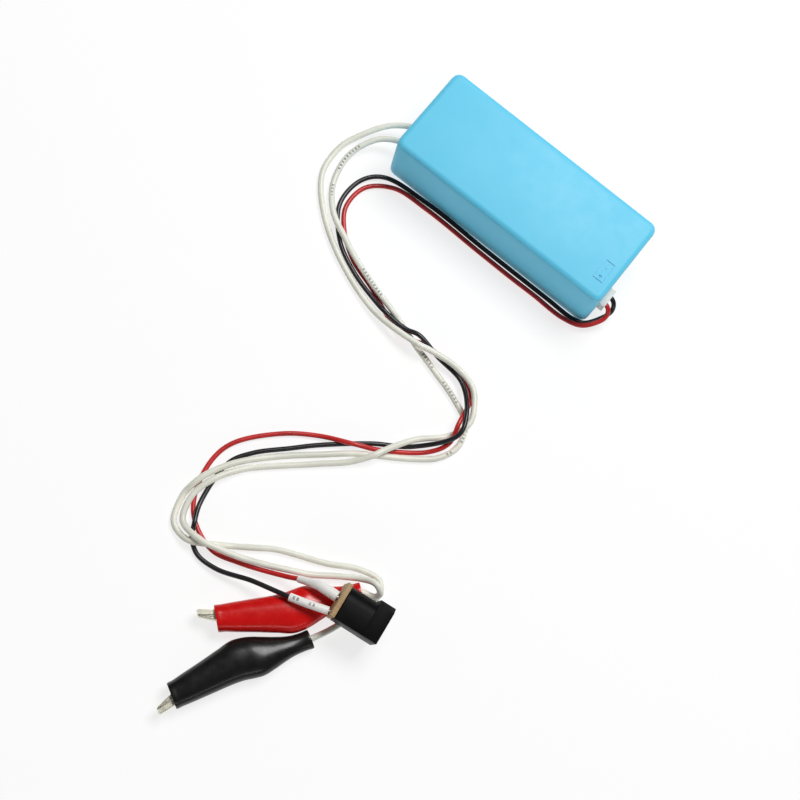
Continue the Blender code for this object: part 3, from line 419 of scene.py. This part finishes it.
def make_finishes():
    """Every finish by its short name: dark and light tone, roughness, then its grain."""
    white = (0.80, 0.80, 0.70), (0.90, 0.90, 0.80), 0.42
    sleeve = (0.84, 0.82, 0.78), (0.93, 0.92, 0.89), 0.48
    return {
        "case": moulded_plastic(
            "case_sky_blue", (0.122, 0.630, 0.900), (0.138, 0.662, 0.925), 0.50),
        # The mark is the case's own plastic; its darker blue is painted shade that outlines the
        # raised strokes.
        "mark": moulded_plastic(
            "mark_sky_blue_painted_shade", (0.115, 0.570, 0.820), (0.130, 0.600, 0.850), 0.50),
        "base": moulded_plastic(
            "base_black", (0.010, 0.010, 0.012), (0.022, 0.022, 0.025), 0.50),
        "jack": moulded_plastic(
            "jack_black", (0.0030, 0.0032, 0.0030), (0.0075, 0.0080, 0.0076), 0.42,
            grain=5200, specular=0.08),
        "nylon": moulded_plastic(
            "connector_nylon", (0.76, 0.75, 0.70), (0.86, 0.85, 0.81), 0.42),
        "sleeve": moulded_plastic("shrink_sleeve", *sleeve, grain=3800),
        "printed_sleeve": wire_insulation("shrink_sleeve_printed", *sleeve, SLEEVE_PRINT),
        "package": moulded_plastic(
            "device_epoxy", (0.012, 0.012, 0.013), (0.030, 0.030, 0.032), 0.55),
        "film": moulded_plastic(
            "film_dip", (0.42, 0.20, 0.03), (0.60, 0.32, 0.06), 0.28,
            grain=3000, grain_depth=0.00005, coat=0.4),
        "can": moulded_plastic(
            "can_sleeve", (0.010, 0.016, 0.080), (0.020, 0.032, 0.130), 0.30, grain=4000),
        "resistor": moulded_plastic(
            "resistor_paint", (0.48, 0.33, 0.16), (0.62, 0.45, 0.25), 0.38),
        "ferrite": moulded_plastic(
            "ferrite_grey", (0.030, 0.030, 0.033), (0.065, 0.064, 0.068), 0.62,
            grain=5000, grain_depth=0.00006),
        "board": laminate("board_green", (0.015, 0.130, 0.050), (0.035, 0.210, 0.085), 0.38),
        "plate": laminate(
            "plate_tan", (0.34, 0.20, 0.085), (0.56, 0.38, 0.20), 0.60, thread=2600),
        "copper": wound_copper("winding_copper"),
        "nickel": plated_metal(
            "clip_nickel", (0.80, 0.77, 0.62), (0.92, 0.90, 0.74), 0.36, (1.0, 0.2, 1.0)),
        "tin": plated_metal("contact_tin", (0.58, 0.57, 0.53), (0.80, 0.79, 0.76), 0.30),
        "strand": plated_metal(
            "conductor_strand", (0.52, 0.23, 0.10), (0.75, 0.55, 0.40), 0.30, (0.3, 1.0, 1.0)),
        "white_wire": wire_insulation("lead_white", *white),
        "printed_wire": wire_insulation("lead_white_printed", *white, WHITE_LEAD_PRINT),
        "red_wire": wire_insulation(
            "lead_red", (0.50, 0.010, 0.010), (0.62, 0.018, 0.016), 0.36),
        "black_wire": wire_insulation(
            "lead_black", (0.005, 0.005, 0.006), (0.013, 0.012, 0.016), 0.34),
        "red_boot": soft_pvc("boot_red", (0.56, 0.003, 0.003), (0.68, 0.006, 0.005), 0.24),
        "black_boot": soft_pvc(
            "boot_black", (0.0040, 0.0042, 0.0040), (0.0085, 0.0088, 0.0085), 0.30),
    }


# --- making pieces ------------------------------------------------------------------
def finish_piece(name, bm, finish, body, smooth_angle=40):
    """Turn a bmesh into a shaded piece that rides on a body."""
    mesh = bpy.data.meshes.new(name)
    bm.to_mesh(mesh)
    bm.free()
    mesh.materials.append(FINISHES[finish])
    mesh.shade_smooth()
    mesh.set_sharp_from_angle(angle=math.radians(smooth_angle))
    piece = bpy.data.objects.new(name, mesh)
    bpy.context.collection.objects.link(piece)
    if body:
        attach(piece, body)
    return piece


def softened(node, name, width, finish, body="case", segments=3, chosen=None):
    """A CAD node's shape in that node's place, with its sharp or chosen edges rounded."""
    bm = bmesh.new()
    bm.from_mesh(frame["nodes"][node].data)
    bmesh.ops.remove_doubles(bm, verts=bm.verts, dist=MERGE_WITHIN)
    bmesh.ops.dissolve_limit(bm, angle_limit=FLAT_WITHIN, verts=bm.verts, edges=bm.edges)
    sharp = [e for e in bm.edges if e.is_manifold and e.calc_face_angle() > SHARP_FROM]
    if chosen:
        sharp = [e for e in sharp if chosen(e.verts[0].co) and chosen(e.verts[1].co)]
    bmesh.ops.bevel(bm, geom=sharp, offset=width, segments=segments, profile=0.5,
                    affect="EDGES", clamp_overlap=True, material=-1)
    piece = finish_piece(name, bm, finish, body)
    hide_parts(node)
    return piece


def repaint(node, finish):
    """Give a CAD node that stays as it is a finish of its own."""
    mesh = frame["nodes"][node].data
    if not mesh.materials:
        mesh.materials.append(FINISHES[finish])
    for index in range(len(mesh.materials)):
        mesh.materials[index] = FINISHES[finish]


def smooth_route(points, steps=16):
    """A smooth curve through the route's points (centripetal Catmull-Rom)."""
    route = [Vector(p) for p in points]
    route = [2 * route[0] - route[1]] + route + [2 * route[-1] - route[-2]]
    curve = []
    for a, b, c, d in zip(route, route[1:], route[2:], route[3:]):
        t1 = math.sqrt((b - a).length)
        t2 = t1 + math.sqrt((c - b).length)
        t3 = t2 + math.sqrt((d - c).length)
        for step in range(steps):
            t = t1 + (t2 - t1) * step / steps
            ab = a.lerp(b, t / t1)
            bc = b.lerp(c, (t - t1) / (t2 - t1))
            cd = c.lerp(d, (t - t2) / (t3 - t2))
            abc = ab.lerp(bc, t / t2)
            bcd = bc.lerp(cd, (t - t1) / (t3 - t1))
            curve.append(abc.lerp(bcd, (t - t1) / (t2 - t1)))
    curve.append(route[-2])
    return curve


def evenly(curve, step):
    """The same curve with its points a fixed step apart."""
    even = [curve[0].copy()]
    left = step
    for a, b in zip(curve, curve[1:]):
        length = (b - a).length
        travelled = 0.0
        while length - travelled >= left:
            travelled += left
            even.append(a.lerp(b, travelled / length))
            left = step
        left -= length - travelled
    even.append(curve[-1].copy())
    return even


def tube(name, path, radius, flare=None, resolution=6):
    """A round tube mesh along a path, with its length and its sides as attributes."""
    data = bpy.data.curves.new(name, "CURVE")
    data.dimensions = "3D"
    data.bevel_depth = radius
    data.bevel_resolution = resolution
    data.use_fill_caps = True
    spline = data.splines.new("POLY")
    spline.points.add(len(path) - 1)
    for k, (spline_point, place) in enumerate(zip(spline.points, path)):
        spline_point.co = (*place, 1.0)
        spline_point.radius = flare(k / (len(path) - 1)) if flare else 1.0
    guide = bpy.data.objects.new(name + "_guide", data)
    bpy.context.collection.objects.link(guide)
    shown = guide.evaluated_get(bpy.context.evaluated_depsgraph_get())
    mesh = bpy.data.meshes.new_from_object(shown)
    bpy.data.objects.remove(guide, do_unlink=True)
    mark_tube(mesh, path, radius)
    return mesh


def mark_tube(mesh, path, radius):
    """Store how far along the tube each vertex is, and on which side of it."""
    tree = kdtree.KDTree(len(path))
    distances = [0.0]
    for a, b in zip(path, path[1:]):
        distances.append(distances[-1] + (b - a).length)
    for index, point in enumerate(path):
        tree.insert(point, index)
    tree.balance()
    marks = {name: mesh.attributes.new(name, "FLOAT", "POINT")
             for name in ("along", "across", "above")}
    for vertex in mesh.vertices:
        _, index, _ = tree.find(vertex.co)
        ahead = path[min(index + 1, len(path) - 1)]
        behind = path[max(index - 1, 0)]
        direction = (ahead - behind).normalized()
        offset = (vertex.co - path[index]) / radius
        side = direction.cross(Vector((0, 0, 1)))
        marks["along"].data[vertex.index].value = distances[index]
        marks["across"].data[vertex.index].value = offset.dot(side)
        marks["above"].data[vertex.index].value = offset.z


def tube_piece(name, node, path, radius, finish, flare=None):
    """A tube that rides on the case and stands in for a CAD node."""
    mesh = tube(name, path, radius, flare)
    mesh.materials.clear()
    mesh.materials.append(FINISHES[finish])
    mesh.shade_smooth()
    mesh.set_sharp_from_angle(angle=math.radians(60))
    piece = bpy.data.objects.new(name, mesh)
    bpy.context.collection.objects.link(piece)
    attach(piece, "case")
    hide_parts(node)
    return piece


def path_length(path):
    return sum((b - a).length for a, b in zip(path, path[1:]))


# --- leads --------------------------------------------------------------------------
def make_lead(node, route, radius, finish):
    """A lead's insulation along its route, as a tube that rides on the case."""
    path = evenly(smooth_route(route), LEAD_STEP)
    lead = tube_piece(node + "_insulation", node, path, radius, finish)
    path_length(path)
    return lead


def make_sleeve(node, points, radius, finish, widen):
    """A shrink sleeve that starts tight on its lead and opens out towards the lug."""
    path = evenly(smooth_route(points), SLEEVE_STEP)
    return tube_piece(node + "_tube", node, path, radius, finish,
                      flare=lambda share: 1.0 + widen * min(1.0, 1.5 * share) ** 1.5)


# --- case ---------------------------------------------------------------------------
def make_case():
    """The case's upper body, its base and the mark on top."""
    softened("case_shell", "case_body", 0.00022, "case")
    softened("base_cover", "case_base", 0.00020, "base")
    make_case_mark()


def make_case_mark():
    """The raised mark near the input end: a plain frame with a plus and a minus in it, in a
    darker blue than the case that is painted shade.
    """
    low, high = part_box("case_shell")
    middle_y = 0.5 * (low[1] + high[1])
    center = Vector((high[0] - MARK_FROM_END, middle_y - MARK_OFF_MIDDLE, high[2] - MARK_SINK))
    bm = bmesh.new()
    frame_face = bmesh.ops.create_grid(bm, x_segments=1, y_segments=1, size=0.5)["verts"]
    bmesh.ops.scale(bm, vec=(MARK_WIDTH, MARK_LENGTH, 1.0), verts=frame_face)
    ring = bmesh.ops.inset_region(bm, faces=bm.faces[:], thickness=MARK_LINE,
                                  use_even_offset=True, use_boundary=True)["faces"]
    inner = [face for face in bm.faces if face not in ring]
    bmesh.ops.delete(bm, geom=inner, context="FACES")
    raised = bmesh.ops.extrude_face_region(bm, geom=bm.faces[:])["geom"]
    top = [g for g in raised if isinstance(g, bmesh.types.BMVert)]
    bmesh.ops.translate(bm, vec=(0, 0, MARK_RISE), verts=top)
    for x, y, wide, tall in MARK_BARS:
        made = bmesh.ops.create_cube(bm, size=1.0)["verts"]
        bmesh.ops.scale(bm, vec=(wide, tall, MARK_RISE), verts=made)
        bmesh.ops.translate(bm, vec=(x, y, MARK_RISE / 2), verts=made)
    bmesh.ops.recalc_face_normals(bm, faces=bm.faces)
    bmesh.ops.translate(bm, vec=center, verts=bm.verts)
    finish_piece("case_raised_mark", bm, "mark", "case")


# --- clips --------------------------------------------------------------------------
def clip_place(color):
    """The clip's own frame: x to the tail, +y the humped side."""
    pivot = next(j for j in frame["joints"] if j["name"] == color + "_clip_hinge")["pos_m"]
    turn = Matrix.Rotation(CLIP_ANGLES[color], 4, "Z")
    if CLIP_FLIPPED[color]:
        turn = turn @ Matrix.Rotation(math.pi, 4, "X")
    return Matrix.Translation(pivot) @ turn @ Matrix.Translation((-PIVOT_FROM_MOUTH, 0, 0))


def station_at(x):
    """The boot's section at x, eased smoothly between the stations."""
    xs = [station[0] for station in BOOT_STATIONS]
    k = max(i for i in range(len(xs) - 1) if xs[i] <= x + 1e-9)
    around = [BOOT_STATIONS[min(max(k + d, 0), len(xs) - 1)] for d in (-1, 0, 1, 2)]
    t = (x - xs[k]) / (xs[k + 1] - xs[k])
    values = []
    for column in range(1, 5):
        a, b, c, d = (station[column] for station in around)
        rise_b, rise_c = (c - a) / 2, (d - b) / 2
        values.append((2 * t**3 - 3 * t**2 + 1) * b + (t**3 - 2 * t**2 + t) * rise_b
                      + (3 * t**2 - 2 * t**3) * c + (t**3 - t**2) * rise_c)
    return values


def boot_loop(bm, x, inset, flipped, swell=0.0):
    """One ring of the boot: squarish at the mouth, rounder towards the tail."""
    straight, hump, half_height, drop = station_at(min(max(x, 0.0), BOOT_LENGTH))
    power = 2.0 / (2.45 - 0.4 * min(1.0, x / 0.030))
    half_y = (hump - straight) / 2 - inset + swell
    half_z = half_height - inset + swell
    center = Vector((x, (hump + straight) / 2, drop if flipped else -drop))
    ring = bmesh.ops.create_circle(bm, segments=BOOT_SIDES, radius=1.0)["verts"]
    for vertex in ring:
        c, s = vertex.co.x, vertex.co.y
        y = half_y * math.copysign(abs(c) ** power, c)
        z = half_z * math.copysign(abs(s) ** power, s)
        vertex.co = center + Vector((0, y, z))
    return [edge for edge in bm.edges if edge.verts[0] in ring and edge.verts[1] in ring]


def make_boot(color):
    """A dip-moulded boot: a rolled mouth, a hump over the moving handle, a narrow tail."""
    bm = bmesh.new()
    flipped = CLIP_FLIPPED[color]
    loops = []
    for k in range(BOOT_RINGS + 1):
        x = BOOT_LENGTH * k / BOOT_RINGS
        mouth_lip = MOUTH_LIP * math.exp(-((x - LIP_WIDTH) / LIP_WIDTH) ** 2)
        tail_lip = TAIL_LIP * math.exp(-((x - BOOT_LENGTH + LIP_WIDTH) / LIP_WIDTH) ** 2)
        loops.append(boot_loop(bm, x, 0.0, flipped, mouth_lip + tail_lip))
    for k in range(BOOT_RINGS, -1, -4):
        loops.append(boot_loop(bm, BOOT_LENGTH * k / BOOT_RINGS, BOOT_WALL, flipped))
    loops.append(loops[0])
    for first, second in zip(loops, loops[1:]):
        bmesh.ops.bridge_loops(bm, edges=list({*first, *second}))
    rims = [e for e in bm.edges if e.is_manifold and e.calc_face_angle() > RIM_FROM]
    bmesh.ops.bevel(bm, geom=rims, offset=RIM_EDGE, segments=3, profile=0.5, affect="EDGES",
                    clamp_overlap=True, material=-1)
    bmesh.ops.recalc_face_normals(bm, faces=bm.faces)
    place = clip_place(color)
    bmesh.ops.transform(bm, matrix=place, verts=bm.verts)
    piece = finish_piece(color + "_clip_cover", bm, color + "_boot", None, 60)
    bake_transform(piece)
    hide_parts(color + "_clip_boot")
    return piece


def make_clip(color):
    """The metal parts of one clip and its cover; returns these pieces."""
    place = clip_place(color)
    to_clip = place.inverted()
    body = color + "_clip_jaw"

    def outer_skin(corner):
        """True on the nose's outside corners, and false along the toothed line."""
        x, y, z = to_clip @ corner
        split = SPLIT_AT_MOUTH + SPLIT_SLOPE * x
        return abs(z) > NOSE_SKIN and abs(y - split) > NOSE_CLEAR_OF_TEETH

    jaws = [softened(color + "_clip_fixed_jaw", color + "_clip_lower_jaw", FIXED_JAW_EDGE,
                     "nickel", chosen=outer_skin),
            softened(color + "_clip_moving_jaw", color + "_clip_upper_jaw", MOVING_JAW_EDGE,
                     "nickel", body, chosen=outer_skin)]
    repaint(color + "_clip_pivot_pin", "tin")
    spring = softened(color + "_clip_spring", color + "_clip_torsion_spring", 0.00003,
                      "tin", None, 1)
    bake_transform(spring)
    repaint(color + "_clip_conductor", "strand")
    kept = [frame["nodes"][color + "_clip_" + part] for part in ("pivot_pin", "conductor")]
    return jaws + [spring] + kept + [make_boot(color)]


# --- barrel jack --------------------------------------------------------------------
def make_jack():
    """The jack's housing, rear plate and contacts; returns these pieces."""
    housing = softened("jack_body", "jack_housing", 0.00030, "jack")
    plate = softened("jack_back_plate", "jack_rear_plate", 0.00010, "plate",
                     segments=2)
    contacts = ("jack_center_pin", "jack_sleeve_lug", "jack_leaf_contact")
    for node in contacts:
        repaint(node, "tin")
    return [housing, plate] + [frame["nodes"][node] for node in contacts]


# --- inside the case ----------------------------------------------------------------
def make_insides():
    """The board and its parts; returns the input plug's housing, which rides on the case."""
    softened("circuit_board", "board", 0.00008, "board", segments=1)
    for side in ("output", "input"):
        softened("transformer_core_%s_half" % side, "core_%s_half" % side, 0.00018,
                 "ferrite")
    softened("transformer_bobbin", "bobbin", 0.00010, "package", segments=2)
    softened("transformer_winding", "winding", 0.00030, "copper")
    softened("input_capacitor", "input_can", 0.00020, "can")
    softened("output_capacitor", "output_film", 0.00040, "film")
    for number in (1, 2):
        softened("transistor_%d" % number, "device_%d" % number, 0.00010,
                 "package", segments=2)
        softened("resistor_%d" % number, "resistor_body_%d" % number, 0.00010,
                 "resistor", segments=2)
        repaint("input_header_pin_%d" % number, "tin")
        repaint("output_terminal_%d" % number, "tin")
        repaint("input_plug_contact_%d" % number, "tin")
    softened("input_header", "header_shroud", 0.00015, "nylon")
    return softened("input_plug", "plug_housing", 0.00022, "nylon")


# --- stage --------------------------------------------------------------------------
def make_camera():
    """Set the camera at its distance from AIM, turned, raised and rolled."""
    azimuth, elevation, roll = CAMERA_AZIMUTH, CAMERA_ELEVATION, CAMERA_ROLL
    back = Vector((math.sin(azimuth) * math.cos(elevation),
                   -math.cos(azimuth) * math.cos(elevation), math.sin(elevation)))
    level = Vector((math.cos(azimuth), math.sin(azimuth), 0.0))
    upright = back.cross(level)
    right = math.cos(roll) * level + math.sin(roll) * upright
    up = back.cross(right)
    data = bpy.data.cameras.new("camera")
    data.lens = CAMERA_LENS
    data.sensor_width = 36.0
    data.clip_start = 0.01
    data.clip_end = 10.0
    camera = bpy.data.objects.new("camera", data)
    axes = Matrix((right, up, back)).transposed().to_4x4()
    camera.matrix_world = Matrix.Translation(AIM + CAMERA_DISTANCE * back) @ axes
    bpy.context.collection.objects.link(camera)
    bpy.context.scene.camera = camera


def area_light(name, place, aim, size, power):
    data = bpy.data.lights.new(name, "AREA")
    data.shape = "RECTANGLE"
    data.size, data.size_y = size
    data.energy = power
    light = bpy.data.objects.new(name, data)
    light.location = place
    light.rotation_euler = (Vector(aim) - Vector(place)).to_track_quat("-Z", "Y").to_euler()
    bpy.context.collection.objects.link(light)


def make_stage():
    """A bright paper floor, a faint white world and the lights."""
    mesh = bpy.data.meshes.new("floor")
    bm = bmesh.new()
    bmesh.ops.create_grid(bm, x_segments=1, y_segments=1, size=FLOOR_HALF_SIZE)
    bm.to_mesh(mesh)
    bm.free()
    floor = bpy.data.objects.new("floor", mesh)
    bpy.context.collection.objects.link(floor)
    paper = Finish("floor_paper")
    paper.set(Base_Color=(0.24, 0.24, 0.24), Roughness=0.9, Emission_Color=(1.0, 1.0, 1.0),
              Emission_Strength=FLOOR_GLOW)
    mesh.materials.append(paper.material)
    world = bpy.data.worlds.new("studio")
    world.use_nodes = True
    background = world.node_tree.nodes["Background"]
    background.inputs["Color"].default_value = (1.0, 1.0, 1.0, 1.0)
    background.inputs["Strength"].default_value = WORLD_STRENGTH
    bpy.context.scene.world = world
    bpy.context.scene.view_settings.view_transform = "Standard"
    for light in LIGHTS:
        area_light(*light)


def main():
    make_camera()
    make_stage()
    red_clip = make_clip("red")
    black_clip = make_clip("black")
    jack = make_jack()
    plug = make_insides()
    red_sleeve = make_sleeve("sleeve_red_lead", RED_LEAD_ROUTE[-4:-1] + [RED_SLEEVE_END],
                             RED_SLEEVE_RADIUS, "sleeve", RED_SLEEVE_WIDENING)
    black_sleeve = make_sleeve("sleeve_black_lead", BLACK_LEAD_ROUTE[-3:-1] + [BLACK_SLEEVE_END],
                               BLACK_SLEEVE_RADIUS, "printed_sleeve", 0.0)
    make_lead("white_lead_red_clip", WHITE_LEAD_RED_CLIP_ROUTE, WHITE_RADIUS, "white_wire")
    make_lead("white_lead_black_clip", WHITE_LEAD_BLACK_CLIP_ROUTE, WHITE_RADIUS, "printed_wire")
    make_lead("red_lead", RED_LEAD_ROUTE, THIN_RADIUS, "red_wire")
    make_lead("black_lead", BLACK_LEAD_ROUTE, THIN_RADIUS, "black_wire")
    make_case()


FINISHES = make_finishes()
main()
